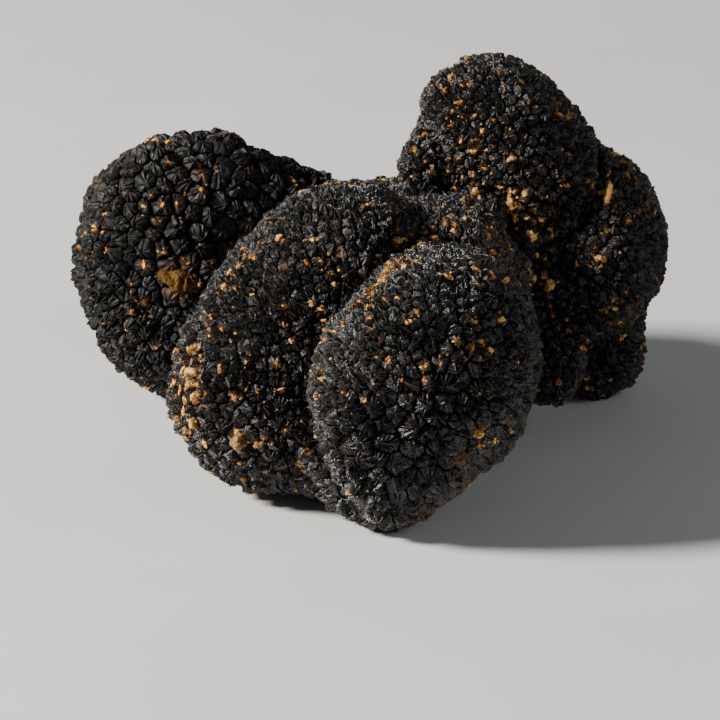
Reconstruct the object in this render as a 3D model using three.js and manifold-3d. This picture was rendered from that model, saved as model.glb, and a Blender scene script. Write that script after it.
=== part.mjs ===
// A black truffle as it is dug: one deeply lobed fruiting body with crumbs of soil stuck to it.
// Millimetres, +Z up. It stands on three small flat spots at z = 0, and the origin is the middle
// of its footprint. +X is the viewer's right, and -Y is the side with the two-lobed front.
import * as THREE from 'three';
import { mergeVertices } from 'three/addons/utils/BufferGeometryUtils.js';
import Module from 'manifold-3d';

const wasm = await Module();
wasm.setup();

// ---- driving dimensions ------------------------------------------------------------------

// The swellings that the truffle grew by. Each lobe is an ellipsoid: its centre, its radii along
// its own x, y and z, and how far it leans, in degrees about x, y and z. The lobes of one mass
// flow into each other over a wide blend, and the masses meet in narrow creases.
const MASSES = {
  left: {
    blend: 9,
    lobes: {
      round: { centre: [-26.8, 24, 21.3], radii: [19.2, 17, 22], lean: [0, -12, 0] },
      neck: { centre: [-10, 27, 21.6], radii: [13, 12, 13], lean: [0, 0, 0] },
    },
  },
  front_left: {
    blend: 10,
    lobes: {
      low: { centre: [-12.6, -13.3, 14.8], radii: [16.8, 14, 13.8], lean: [0, 0, 0] },
      side: { centre: [-15, -7, 23.5], radii: [9.3, 11, 10], lean: [0, 0, 0] },
      top: { centre: [-4.7, -4, 28.6], radii: [14.3, 15, 17], lean: [0, 19, 0] },
    },
  },
  front_right: {
    blend: 8,
    lobes: {
      round: { centre: [7.6, -22.5, 22], radii: [16.2, 19.5, 20.9], lean: [0, 28, -18] },
      toe: { centre: [1.5, -19.5, 8.9], radii: [11.5, 12, 9.2], lean: [0, 0, 0] },
    },
  },
  saddle: {
    blend: 8,
    lobes: {
      ridge: { centre: [11, 1, 28], radii: [14, 13, 12], lean: [0, 0, 0] },
      middle: { centre: [18, 13.2, 22], radii: [11.6, 12.5, 14], lean: [0, 0, 0] },
      heart: { centre: [2, 10, 20], radii: [20, 18, 13], lean: [0, 0, 0] },
      back: { centre: [5, 30, 21], radii: [16, 11.5, 13], lean: [0, 0, 0] },
    },
  },
  crown: {
    blend: 6,
    lobes: {
      top: { centre: [18.8, 21, 44.3], radii: [11.9, 12, 12.7], lean: [0, 0, 0] },
      shoulder: { centre: [25, 21, 37.2], radii: [10.8, 12.6, 11.6], lean: [0, 0, 0] },
    },
  },
  crown_bud: {
    blend: 1,
    lobes: { bud: { centre: [9.1, 15, 41.2], radii: [4.4, 5.2, 5.6], lean: [0, 0, 0] } },
  },
  right: {
    blend: 4,
    lobes: {
      round: { centre: [34.3, 22.5, 26.1], radii: [12.3, 16, 14.7], lean: [0, 0, 0] },
      foot: { centre: [36.6, 24.5, 8.5], radii: [7.4, 8.5, 9.2], lean: [0, 0, 0] },
    },
  },
  right_bud: {
    blend: 1,
    lobes: { bud: { centre: [28, 8.5, 12], radii: [6.3, 7, 7], lean: [0, 0, 0] } },
  },
};
const CREASE = 2.4; // blend between two masses

// Crumbs of soil and grit that cling to the skin: the mass and the lobe that each sticks to, the
// azimuth and elevation, in degrees, at which it is seen from the middle of that lobe, its length,
// its width and how far it stands out, and the turn of its length, in degrees up from level.
const CRUMBS = {
  soil_patch_left: { on: ['left', 'round'], at: [-97, 13], size: [5.8, 3.4, 0.9], turn: -25 },
  soil_cluster_top: { on: ['front_left', 'low'], at: [-168, 33], size: [1.9, 1.3, 0.6], turn: 25 },
  soil_cluster_large: { on: ['front_left', 'low'], at: [-159, 24], size: [2.8, 1.9, 0.8], turn: 20 },
  soil_cluster_arch: { on: ['front_left', 'low'], at: [-154, 18], size: [2.4, 1.4, 0.7], turn: 0 },
  soil_cluster_small: { on: ['front_left', 'low'], at: [-147, 13], size: [1.3, 1.8, 0.7], turn: 10 },
  soil_cluster_low: { on: ['front_left', 'low'], at: [-147, -2], size: [1.3, 1.9, 0.7], turn: 5 },
  grit_front_left: { on: ['front_left', 'low'], at: [-117, -6], size: [2.7, 2.3, 1.3], turn: 65 },
  grit_front_small: { on: ['front_left', 'low'], at: [-105, -7], size: [1.5, 1.2, 0.8], turn: 0 },
  brown_crumb_front: { on: ['front_right', 'round'], at: [-70, -20], size: [2.7, 2.5, 0.6], turn: 0 },
  soil_front_right: { on: ['front_right', 'round'], at: [-62, -7], size: [1.8, 1.2, 0.6], turn: -10 },
  soil_crease_low: { on: ['front_right', 'round'], at: [-167, 75], size: [3.2, 1.2, 0.6], turn: 115 },
  soil_crease_high: { on: ['saddle', 'ridge'], at: [-99, 51], size: [1.9, 1.1, 0.6], turn: 0 },
  grit_crown: { on: ['crown', 'top'], at: [-101, -20], size: [2.2, 1.4, 1.0], turn: 25 },
  grit_crown_middle: { on: ['crown', 'top'], at: [-76, 3], size: [1.6, 0.9, 0.6], turn: 5 },
  grit_ledge: { on: ['crown', 'shoulder'], at: [-95, 10], size: [1.2, 1.0, 0.7], turn: 0 },
  soil_cleft: { on: ['crown', 'shoulder'], at: [-104, 3], size: [1.0, 3.2, 0.9], turn: 0 },
  soil_ledge_left: { on: ['crown', 'shoulder'], at: [-95, -7], size: [1.5, 0.8, 0.6], turn: 0 },
  soil_ledge_right: { on: ['crown', 'shoulder'], at: [-84, -9], size: [1.8, 0.8, 0.6], turn: 5 },
  soil_sliver_right: { on: ['right', 'round'], at: [-75, 51], size: [4.2, 1.5, 0.8], turn: 60 },
  soil_right: { on: ['right', 'round'], at: [-86, 12], size: [1.9, 1.2, 0.6], turn: -10 },
  soil_gap: { on: ['saddle', 'middle'], at: [-48, 49], size: [2.4, 2.0, 1.0], turn: -20 },
  grit_gap: { on: ['saddle', 'middle'], at: [-42, 17], size: [1.4, 2.2, 1.0], turn: 0 },
};

const CELL = 2.8; // width of a facet of the skin
const SWELL = 0.45; // height of the slow unevenness of the skin
const SWELL_SPAN = 25; // length of its longest wave
const GAP = 0.3; // between a crumb and the skin that it sticks to
const CRUMB_LUMPS = 0.16; // height of a crumb's lumps, as a share of its size
const CRUMB_WAVES = 3; // their waves, in radians over half of its length

// The waves of any unevenness: how much each counts, its run over x, y and z, and how far a phase
// moves it along.
const WAVES = [
  { share: 0.45, run: new THREE.Vector3(1, 0, 0.5), move: 1 },
  { share: 0.35, run: new THREE.Vector3(-0.7, 1.4, 0), move: 2 },
  { share: 0.20, run: new THREE.Vector3(0, 1.2, 1.9), move: -1.3 },
];
const BODY_PHASE = 0.4; // picks the truffle's own unevenness
const CRUMB_PHASE = 2.3; // from each crumb's unevenness to the next one's

const REACH = 60; // more than the truffle's reach from the z axis, and its height
const FLOOR_ROOM = 2.5 * CELL; // from the lowest cell corners up to the floor
const NUDGE = CELL / 4; // the furthest that a point is moved on to the skin
const PROBE = 0.05; // how far apart two depths are read to find the skin's slope
const SEARCH_STEPS = 100; // steps from the middle of a lobe out to its skin
const SEARCH_PACE = 0.5; // each as a share of the way that seems left
const SAME_POINT = 1e-5; // points closer than this are one

// What each kind of node looks like. The kind is the first word of its name.
const LOOKS = {
  truffle: { color: 0x1d1a18, roughness: 0.55 },
  soil: { color: 0xb98a4a, roughness: 0.95 },
  grit: { color: 0xc9b48a, roughness: 0.6 },
  brown: { color: 0x6e4a2a, roughness: 0.9 },
};

// ---- the form of the truffle -------------------------------------------------------------

function prepare({ centre, radii, lean }) {
  const turns = lean.map(THREE.MathUtils.degToRad);
  const turn = new THREE.Quaternion().setFromEuler(new THREE.Euler(...turns, 'ZYX'));
  return {
    centre: new THREE.Vector3(...centre),
    radii: new THREE.Vector3(...radii),
    unturn: turn.invert(),
  };
}

const FORMS = Object.values(MASSES).map(({ blend, lobes }) => ({
  blend,
  lobes: Object.values(lobes).map(prepare),
}));

// Distance from a point to an ellipsoid, negative inside and nearly true close to its surface.
function lobeDistance({ centre, radii, unturn }, point) {
  const local = point.clone().sub(centre).applyQuaternion(unturn).divide(radii);
  const share = local.length();
  return (share * (share - 1)) / local.divide(radii).length();
}

// The smaller of two distances, rounded where they are within a blend of each other.
function softer(a, b, blend) {
  const overlap = Math.max(blend - Math.abs(a - b), 0) / blend;
  return Math.min(a, b) - (overlap * overlap * blend) / 4;
}

// A slow unevenness over space, from -1 to 1 or so. Each phase gives a different one.
function unevenness(point, phase) {
  return WAVES
    .map(({ share, run, move }) => share * Math.sin(run.dot(point) + move * phase))
    .reduce((a, b) => a + b);
}

function truffleDistance(point) {
  const smooth = FORMS
    .map(({ blend, lobes }) => lobes
      .map((lobe) => lobeDistance(lobe, point))
      .reduce((a, b) => softer(a, b, blend)))
    .reduce((a, b) => softer(a, b, CREASE));
  const turned = point.clone().multiplyScalar((2 * Math.PI) / SWELL_SPAN);
  return smooth - SWELL * unevenness(turned, BODY_PHASE);
}

// The way out of the truffle at a point near its skin.
function outward(point) {
  const slope = (...step) => truffleDistance(point.clone().add(new THREE.Vector3(...step)))
    - truffleDistance(point.clone().sub(new THREE.Vector3(...step)));
  return new THREE.Vector3(slope(PROBE, 0, 0), slope(0, PROBE, 0), slope(0, 0, PROBE)).normalize();
}

// ---- a closed mesh of that form ----------------------------------------------------------

// Space is cut into cubic cells, whose corners are inside the truffle or outside it. A cell has one
// point on each sheet of skin that passes through it, and each cell edge that crosses the skin gets
// the quad of the points of the four cells around it.
const CORNERS = [0, 1, 2, 3, 4, 5, 6, 7].map((n) => [n & 1, (n >> 1) & 1, (n >> 2) & 1]);
const EDGES = [0, 1, 2].flatMap((axis) => [0, 1, 2, 3, 4, 5, 6, 7]
  .filter((n) => CORNERS[n][axis] === 0)
  .map((n) => [n, n + (1 << axis)]));
const FACES = [0, 1, 2].flatMap((axis) => [0, 1].map((side) => EDGES.map((edge, n) => n)
  .filter((n) => EDGES[n].every((end) => CORNERS[end][axis] === side))));

const edgeFrom = (corner, axis) => EDGES
  .findIndex(([a, b]) => a === corner && b === corner + (1 << axis));

// The sheet that crosses each edge of a cell. A sheet runs over a face from edge to edge, and where
// all four edges of a face are crossed it runs round each inside corner.
function sheetsOf(sides) {
  const sheets = EDGES.map((edge, n) => n);
  FACES.forEach((face) => {
    const crossed = face.filter((n) => sides[EDGES[n][0]] !== sides[EDGES[n][1]]);
    crossed.forEach((m) => crossed.filter((n) => n > m).forEach((n) => {
      const shared = EDGES[m].find((end) => EDGES[n].includes(end));
      if (crossed.length > 2 && !sides[shared]) return;
      const [kept, dropped] = [sheets[m], sheets[n]];
      sheets.forEach((sheet, edge) => {
        if (sheet === dropped) sheets[edge] = kept;
      });
    }));
  });
  return sheets;
}

function skinGeometry(clearance) {
  const across = Math.ceil((2 * REACH) / CELL);
  const place = (i, j, k) => new THREE.Vector3(i, j, k).multiplyScalar(CELL)
    .sub(new THREE.Vector3(REACH, REACH, FLOOR_ROOM));
  const index = (i, j, k) => (i * across + j) * across + k;
  const depth = new Float64Array(across ** 3);
  for (let i = 0; i < across; i += 1) {
    for (let j = 0; j < across; j += 1) {
      for (let k = 0; k < across; k += 1) {
        depth[index(i, j, k)] = truffleDistance(place(i, j, k)) - clearance;
      }
    }
  }

  const positions = [];
  const cells = new Map();
  const addCell = (i, j, k) => {
    const grid = CORNERS.map(([di, dj, dk]) => [i + di, j + dj, k + dk]);
    const depths = grid.map((at) => depth[index(...at)]);
    const sides = depths.map((value) => value < 0);
    if (sides.every((side) => side === sides[0])) return;
    const sheets = sheetsOf(sides);
    const crossings = new Map();
    EDGES.forEach(([a, b], edge) => {
      if (sides[a] === sides[b]) return;
      const crossing = place(...grid[a]).lerp(place(...grid[b]), depths[a] / (depths[a] - depths[b]));
      crossings.set(sheets[edge], [...(crossings.get(sheets[edge]) ?? []), crossing]);
    });
    const points = new Map();
    crossings.forEach((found, sheet) => {
      const point = found.reduce((sum, crossing) => sum.add(crossing), new THREE.Vector3())
        .divideScalar(found.length);
      const off = truffleDistance(point) - clearance;
      point.addScaledVector(outward(point), -THREE.MathUtils.clamp(off, -NUDGE, NUDGE));
      points.set(sheet, positions.length / 3);
      positions.push(point.x, point.y, point.z);
    });
    cells.set(index(i, j, k), sheets.map((sheet) => points.get(sheet)));
  };
  for (let i = 0; i < across - 1; i += 1) {
    for (let j = 0; j < across - 1; j += 1) {
      for (let k = 0; k < across - 1; k += 1) addCell(i, j, k);
    }
  }

  const triangles = [];
  const addQuad = (at, axis) => {
    const ahead = at.map((value, n) => value + (n === axis ? 1 : 0));
    const here = depth[index(...at)] < 0;
    if (here === (depth[index(...ahead)] < 0)) return;
    const [u, v] = [(axis + 1) % 3, (axis + 2) % 3];
    const [a, b, c, d] = [[0, 0], [1, 0], [1, 1], [0, 1]].map(([back, down]) => {
      const cell = at.map((value, n) => value - (n === u ? back : 0) - (n === v ? down : 0));
      return cells.get(index(...cell))[edgeFrom((back << u) + (down << v), axis)];
    });
    triangles.push(...(here ? [a, b, c, a, c, d] : [a, c, b, a, d, c]));
  };
  for (let i = 1; i < across - 1; i += 1) {
    for (let j = 1; j < across - 1; j += 1) {
      for (let k = 1; k < across - 1; k += 1) {
        [0, 1, 2].forEach((axis) => addQuad([i, j, k], axis));
      }
    }
  }

  const geometry = new THREE.BufferGeometry();
  geometry.setAttribute('position', new THREE.Float32BufferAttribute(positions, 3));
  geometry.setIndex(triangles);
  return geometry;
}

// ---- solids and meshes -------------------------------------------------------------------

function toSolid(geometry) {
  const bare = geometry.clone();
  bare.deleteAttribute('normal');
  bare.deleteAttribute('uv');
  const merged = mergeVertices(bare, SAME_POINT);
  return new wasm.Manifold(new wasm.Mesh({
    numProp: 3,
    vertProperties: new Float32Array(merged.attributes.position.array),
    triVerts: new Uint32Array(merged.index.array),
  }));
}

function toGeometry(solid) {
  const { vertProperties, triVerts } = solid.getMesh();
  const geometry = new THREE.BufferGeometry();
  geometry.setAttribute('position', new THREE.BufferAttribute(vertProperties, 3));
  geometry.setIndex(new THREE.BufferAttribute(triVerts, 1));
  geometry.computeVertexNormals();
  return geometry;
}

function toMesh(name, solid) {
  const [kind] = name.split('_');
  const material = new THREE.MeshStandardMaterial({ ...LOOKS[kind], metalness: 0 });
  const mesh = new THREE.Mesh(toGeometry(solid), material);
  mesh.name = name;
  return mesh;
}

// Everything below the floor, which trims the resting lobes to flat spots.
function underfloor() {
  const slab = new THREE.BoxGeometry(2 * REACH, 2 * REACH, REACH);
  slab.translate(0, 0, -REACH / 2);
  return toSolid(slab);
}

// ---- the crumbs --------------------------------------------------------------------------

// Where the skin is seen from the middle of a lobe, looking along an azimuth and an elevation.
function spotOn([mass, lobe], [azimuth, elevation]) {
  const middle = new THREE.Vector3(...MASSES[mass].lobes[lobe].centre);
  const towards = new THREE.Vector3(1, 0, 0)
    .applyAxisAngle(new THREE.Vector3(0, -1, 0), THREE.MathUtils.degToRad(elevation))
    .applyAxisAngle(new THREE.Vector3(0, 0, 1), THREE.MathUtils.degToRad(azimuth));
  const spot = middle.add(towards);
  for (let step = 0; step < SEARCH_STEPS; step += 1) {
    spot.addScaledVector(towards, -SEARCH_PACE * truffleDistance(spot));
  }
  return spot;
}

function crumbSolid({ on, at, size, turn }, phase, skin) {
  const [length, width, height] = size;
  const geometry = new THREE.IcosahedronGeometry(1, 1);
  const points = geometry.attributes.position;
  const point = new THREE.Vector3();
  for (let i = 0; i < points.count; i += 1) {
    point.fromBufferAttribute(points, i);
    const turned = point.clone().multiplyScalar(CRUMB_WAVES);
    point.multiplyScalar(1 + CRUMB_LUMPS * unevenness(turned, phase));
    points.setXYZ(i, point.x * length / 2, point.y * width / 2, point.z * (height + GAP));
  }
  const spot = spotOn(on, at);
  const normal = outward(spot);
  const level = new THREE.Vector3(0, 0, 1).cross(normal).normalize();
  const up = normal.clone().cross(level);
  geometry.rotateZ(THREE.MathUtils.degToRad(turn));
  geometry.applyMatrix4(new THREE.Matrix4().makeBasis(level, up, normal).setPosition(spot));
  return toSolid(geometry).subtract(skin);
}

// ---- the part ----------------------------------------------------------------------------

const body = toSolid(skinGeometry(0)).subtract(underfloor());
const skin = toSolid(skinGeometry(GAP));

const part = new THREE.Group();
part.add(toMesh('truffle', body));
Object.entries(CRUMBS).forEach(([name, crumb], index) => {
  part.add(toMesh(name, crumbSolid(crumb, CRUMB_PHASE * index, skin)));
});

// The origin is the middle of the footprint of everything.
const middle = new THREE.Box3().setFromObject(part).getCenter(new THREE.Vector3());
part.position.set(-middle.x, -middle.y, 0);

export default part;
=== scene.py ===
"""A whole black truffle: a dark body covered in many-sided warts, with crumbs of soil and grit."""

import math

import bmesh
import bpy
import numpy as np
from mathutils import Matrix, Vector
from mathutils.bvhtree import BVHTree
from mathutils.kdtree import KDTree


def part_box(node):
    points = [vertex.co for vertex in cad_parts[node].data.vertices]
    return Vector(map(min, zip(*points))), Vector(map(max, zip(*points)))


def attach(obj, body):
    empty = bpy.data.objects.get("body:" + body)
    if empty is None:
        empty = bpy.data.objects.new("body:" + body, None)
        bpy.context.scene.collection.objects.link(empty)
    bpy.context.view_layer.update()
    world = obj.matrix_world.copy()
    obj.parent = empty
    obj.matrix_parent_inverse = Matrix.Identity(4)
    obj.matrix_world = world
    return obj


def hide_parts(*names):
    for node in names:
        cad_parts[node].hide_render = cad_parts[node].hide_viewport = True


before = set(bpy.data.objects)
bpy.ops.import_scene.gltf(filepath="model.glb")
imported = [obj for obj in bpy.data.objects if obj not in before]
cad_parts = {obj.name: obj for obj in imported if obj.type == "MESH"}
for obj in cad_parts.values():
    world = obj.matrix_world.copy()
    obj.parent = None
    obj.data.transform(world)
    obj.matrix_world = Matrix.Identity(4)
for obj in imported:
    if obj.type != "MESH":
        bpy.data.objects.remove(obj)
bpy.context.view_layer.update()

MM = 0.001
LOW, HIGH = (np.array(corner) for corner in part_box("truffle"))
SIZE = HIGH - LOW

# The seed of all random draws, and the seeds of the smooth fields.
SEED = 11
SWELL_SEED = SEED + 1
PATCH_SEED = SEED + 5
CRACK_SEED = SEED + 9
CRUMB_SEED = SEED + 200
SEEDS_PER_CRUMB = 4

# A smooth field: how many waves it is made of, and how long these are for the length asked for.
FIELD_WAVES = 7
WAVE_LENGTHS = (0.7, 1.5)

# The ground that the warts grow on: how fine its mesh is, how often and how strongly it is
# smoothed, how far it lies under the imported surface, its swells, and how much deeper the skin
# lies that shows in the grooves, which is painted near black as shade.
GROUND_VOXEL = 1.0 * MM
GROUND_SMOOTHING = 7
SMOOTHING = 0.5
GROUND_DEPTH = 0.50 * MM
SWELLS = 0.45 * MM
SWELL_LENGTH = 7.5 * MM
SKIN_DEPTH = 0.35 * MM

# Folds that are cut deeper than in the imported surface: a line of places, how deep and how wide.
# A place is given as shares of the truffle's own box: from the left, the front and below.
FOLDS = {
    "between_fronts": (
        ((0.46, 0.10, 0.12), (0.40, 0.13, 0.27), (0.385, 0.18, 0.40), (0.42, 0.23, 0.55),
         (0.48, 0.26, 0.64), (0.56, 0.36, 0.68), (0.63, 0.39, 0.67), (0.70, 0.36, 0.64)),
        1.6 * MM, 1.9 * MM,
    ),
    "under_crown": (
        ((0.60, 0.61, 0.72), (0.66, 0.61, 0.70), (0.73, 0.60, 0.70), (0.735, 0.57, 0.63),
         (0.745, 0.53, 0.60)),
        1.4 * MM, 1.4 * MM,
    ),
    "right_gap": (
        ((0.755, 0.55, 0.58), (0.78, 0.56, 0.53), (0.785, 0.55, 0.46), (0.79, 0.55, 0.36),
         (0.79, 0.54, 0.28)),
        3.8 * MM, 2.8 * MM,
    ),
    "beside_crown": (
        ((0.88, 0.75, 0.74), (0.89, 0.70, 0.70), (0.87, 0.64, 0.65), (0.84, 0.61, 0.59),
         (0.80, 0.60, 0.55)),
        1.3 * MM, 1.3 * MM,
    ),
    "beside_bud": (
        ((0.60, 0.65, 0.82), (0.61, 0.62, 0.77), (0.61, 0.61, 0.73), (0.615, 0.60, 0.70)),
        1.1 * MM, 1.1 * MM,
    ),
    "over_bud": (
        ((0.575, 0.80, 0.84), (0.57, 0.73, 0.83), (0.585, 0.68, 0.83), (0.605, 0.64, 0.80)),
        1.9 * MM, 1.9 * MM,
    ),
}

# Hollows of the ground, and swellings where the depth is less than nothing: where they are, how far
# they reach, and how deep they are.
HOLLOWS = (
    ((0.556, 0.66, 0.71), 4.0 * MM, -1.0 * MM),
    ((0.28, 0.64, 0.55), 4.0 * MM, 0.6 * MM),
    ((0.86, 0.63, 0.62), 3.0 * MM, 0.7 * MM),
)


def lobe(at, spacing, height, shoulder, ridges, steps, rays, flakes, grain, skin):
    """One lobe's numbers. Lengths are given in millimetres."""
    return dict(
        at=at, spacing=spacing * MM, height=height * MM, shoulder=shoulder, ridges=ridges,
        steps=steps, rays=rays, flakes=flakes, grain=grain * MM, skin=skin,
    )


# The lobes: where each one is, the distance between its warts, their height, the share of it that
# their rims have, their number of ridges and of steps to a ridge, how deep the ridges are cut, the
# share of its warts that hold a flake of soil, the size of a flake, and the skin.
LOBES = {
    "left": lobe((0.22, 0.76, 0.55), 2.35, 1.00, 0.34, 7, 4, 0.60, 0.60, 0.32, "plate_skin"),
    "left_low": lobe((0.14, 0.72, 0.15), 1.75, 1.00, 0.30, 7, 3, 1.00, 0.17, 0.30, "plate_skin"),
    "front_left": lobe((0.33, 0.33, 0.22), 1.85, 0.85, 0.26, 11, 2, 1.00, 0.20, 0.42, "wart_skin"),
    "front_top": lobe((0.42, 0.44, 0.60), 1.45, 0.72, 0.24, 10, 2, 1.10, 0.24, 0.34, "wart_skin"),
    "rosettes": lobe((0.56, 0.03, 0.27), 2.50, 0.95, 0.26, 15, 2, 0.95, 0.22, 0.40, "fin_skin"),
    "front_right": lobe((0.60, 0.21, 0.52), 1.60, 0.75, 0.24, 11, 2, 1.10, 0.21, 0.38, "fin_skin"),
    "front_flank": lobe((0.44, 0.13, 0.58), 1.30, 0.78, 0.20, 8, 2, 1.35, 0.22, 0.36, "fin_skin"),
    "middle": lobe((0.64, 0.52, 0.52), 1.40, 0.62, 0.24, 9, 2, 1.10, 0.28, 0.36, "wart_skin"),
    "back": lobe((0.52, 0.90, 0.38), 1.95, 0.70, 0.28, 9, 2, 1.00, 0.14, 0.38, "wart_skin"),
    "crown": lobe((0.73, 0.75, 0.76), 1.42, 0.65, 0.24, 9, 2, 1.10, 0.36, 0.38, "wart_skin"),
    "right": lobe((0.88, 0.77, 0.42), 1.48, 0.65, 0.24, 9, 2, 1.10, 0.20, 0.38, "wart_skin"),
}

# How one lobe's numbers give way to the next one's: over what distance, and how sharply.
LOBE_REACH = 11 * MM
LOBE_SHARPNESS = 1.5

# The skins of the warts: how deep their grain is, how rough they are where they are smoothest, how
# much they shine, and the colour of their tips, which painted shade darkens towards the grooves.
SKINS = {
    "plate_skin": dict(grain=0.07 * MM, roughness=0.36, shine=0.22, tip=(0.010, 0.0098, 0.0096)),
    "wart_skin": dict(grain=0.20 * MM, roughness=0.18, shine=0.62, tip=(0.022, 0.0209, 0.020)),
    "fin_skin": dict(grain=0.20 * MM, roughness=0.14, shine=0.76, tip=(0.020, 0.0191, 0.0184)),
}

# Places where soil has gathered: where they are, how far they reach, and the share of the warts
# there that hold a flake. Elsewhere the flakes come in patches: their length, the least share of
# the lobe's own number of flakes, and how much more a patch has.
DUSTINGS = (
    ((0.53, 0.24, 0.70), 4.5 * MM, 0.75),
    ((0.59, 0.17, 0.72), 4 * MM, 0.50),
    ((0.30, 0.36, 0.62), 4.5 * MM, 0.70),
    ((0.25, 0.33, 0.50), 5 * MM, 0.65),
    ((0.21, 0.27, 0.36), 5 * MM, 0.70),
    ((0.20, 0.26, 0.20), 4 * MM, 0.35),
    ((0.64, 0.63, 0.86), 5 * MM, 0.60),
    ((0.66, 0.62, 0.74), 5 * MM, 0.45),
    ((0.75, 0.60, 0.66), 3 * MM, 0.35),
    ((0.76, 0.55, 0.50), 3 * MM, 0.25),
    ((0.70, 0.10, 0.45), 5 * MM, 0.40),
    ((0.68, 0.05, 0.35), 4 * MM, 0.45),
    ((0.24, 0.63, 0.55), 4 * MM, 0.45),
    ((0.28, 0.72, 0.72), 5 * MM, 0.45),
    ((0.47, 0.48, 0.79), 4 * MM, 0.45),
    ((0.05, 0.65, 0.50), 5 * MM, 0.35),
    ((0.95, 0.68, 0.58), 5 * MM, 0.35),
    ((0.42, 0.12, 0.45), 3 * MM, 0.45),
)
PATCH_LENGTH = 11 * MM
PATCH_LEAST = 0.35
PATCH_MORE = 1.6

# Seams of soil along folds: a line, how far the flakes stray from it, and how many there are. Then
# the size of these flakes with its spread, how long they are for their width, and how they lean.
SEAMS = (
    (
        ((0.47, 0.14, 0.63), (0.49, 0.16, 0.65), (0.51, 0.19, 0.68), (0.53, 0.215, 0.695),
         (0.54, 0.24, 0.70)),
        0.30 * MM, 26,
    ),
    (
        ((0.54, 0.24, 0.70), (0.55, 0.33, 0.69), (0.57, 0.38, 0.68), (0.60, 0.41, 0.67)),
        0.25 * MM, 18,
    ),
    (((0.725, 0.61, 0.71), (0.73, 0.60, 0.66), (0.735, 0.56, 0.61)), 0.18 * MM, 10),
    (
        ((0.26, 0.36, 0.50), (0.27, 0.36, 0.55), (0.30, 0.38, 0.61), (0.33, 0.37, 0.66)),
        0.8 * MM, 20,
    ),
    (((0.20, 0.29, 0.42), (0.19, 0.27, 0.33), (0.20, 0.25, 0.22)), 1.1 * MM, 14),
)
SEAM_SIZE = 0.30 * MM
SEAM_SIZES = (0.1, 0.35)
SEAM_STRETCH = 2.2
SEAM_STRETCHES = (1, 1.8)
SEAM_LEAN = np.array((-0.1, -0.3, 0.6))

# Places where the warts are worn low and the skin is bare: where they are, how far they reach, how
# much of the warts' height is gone, and how brown the skin is. The middle of each is evenly worn.
WORN_CORE = 1.6
WORN = (
    ((0.28, 0.64, 0.55), 4.0 * MM, 0.75, 0.15),
    ((0.71, 0.44, 0.62), 4.0 * MM, 0.55, 0.45),
    ((0.64, 0.18, 0.08), 6.5 * MM, 0.70, 1.00),
    ((0.50, 0.07, 0.61), 0.6 * MM, 0.90, 0.0),
    ((0.52, 0.08, 0.63), 0.6 * MM, 0.90, 0.0),
    ((0.54, 0.09, 0.64), 0.6 * MM, 0.90, 0.0),
    ((0.10, 0.88, 0.70), 3.5 * MM, 0.50, 0.35),
    ((0.60, 0.97, 0.45), 4.0 * MM, 0.60, 0.50),
)

# Painted highlights, pale glints on the ridges: where they are, how far they reach, and how pale.
PAINTED_GLINT_PLACES = (
    ((0.46, 0.13, 0.60), 6 * MM, 1.0),
    ((0.46, 0.08, 0.54), 5 * MM, 1.0),
    ((0.43, 0.12, 0.48), 4 * MM, 0.9),
    ((0.53, 0.12, 0.67), 4 * MM, 0.5),
    ((0.40, 0.36, 0.74), 5 * MM, 0.3),
    ((0.08, 0.68, 0.75), 8 * MM, 0.3),
    ((0.80, 0.62, 0.74), 6 * MM, 0.3),
)

# Scars, where the skin is scraped off and the red-brown flesh shows: where they are, and how far
# they reach. A scar also wears that share off the warts.
SCAR_WORN = 0.5
SCARS = (
    ((0.30, 0.25, 0.46), 0.9 * MM),
    ((0.36, 0.32, 0.64), 1.3 * MM),
    ((0.45, 0.31, 0.69), 1.1 * MM),
    ((0.51, 0.06, 0.60), 1.0 * MM),
    ((0.64, 0.04, 0.28), 0.9 * MM),
    ((0.17, 0.60, 0.62), 0.8 * MM),
    ((0.77, 0.62, 0.76), 0.9 * MM),
    ((0.73, 0.58, 0.80), 0.7 * MM),
    ((0.40, 0.95, 0.50), 1.1 * MM),
    ((0.86, 0.95, 0.40), 1.0 * MM),
)

# The places of the warts: the trials for each, the area that one takes up for its spacing squared,
# and how uneven the spacing is.
TRIALS_PER_WART = 16
WART_AREA = 0.8
UNEVEN_SPACING = (0.78, 1.08)

# The outlines of the warts, mostly as shares of their width.
CELL_WIDTH = 1.2  # the width for the spacing
CELL_PUSH = 0.55  # how strongly a wart may push its neighbours away
NEIGHBOURS = 14
SAME_SIDE = 0.1  # the least cosine between the ways that two neighbours face
LEAST_HALF = 0.2  # the least share of the way to a neighbour that a wart gets
GROOVE = 0.045
LEAST_AHEAD = 0.05  # the least cosine at which a neighbour stops the rim
UNSTOPPED = 1.0  # the reach of a rim that nothing stops, in metres
RIM_REACH = (0.15, 0.85)

# The rings of a wart, from its sunken rim to its tip: the share of the width, the height from the
# shoulder to the tip (less than nothing in the ground), and how strongly the ridges show.
RINGS = ((1.0, -1.0, 0.0), (0.94, 0.0, 0.75), (0.66, 0.60, 1.0), (0.30, 0.92, 0.6))

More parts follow.
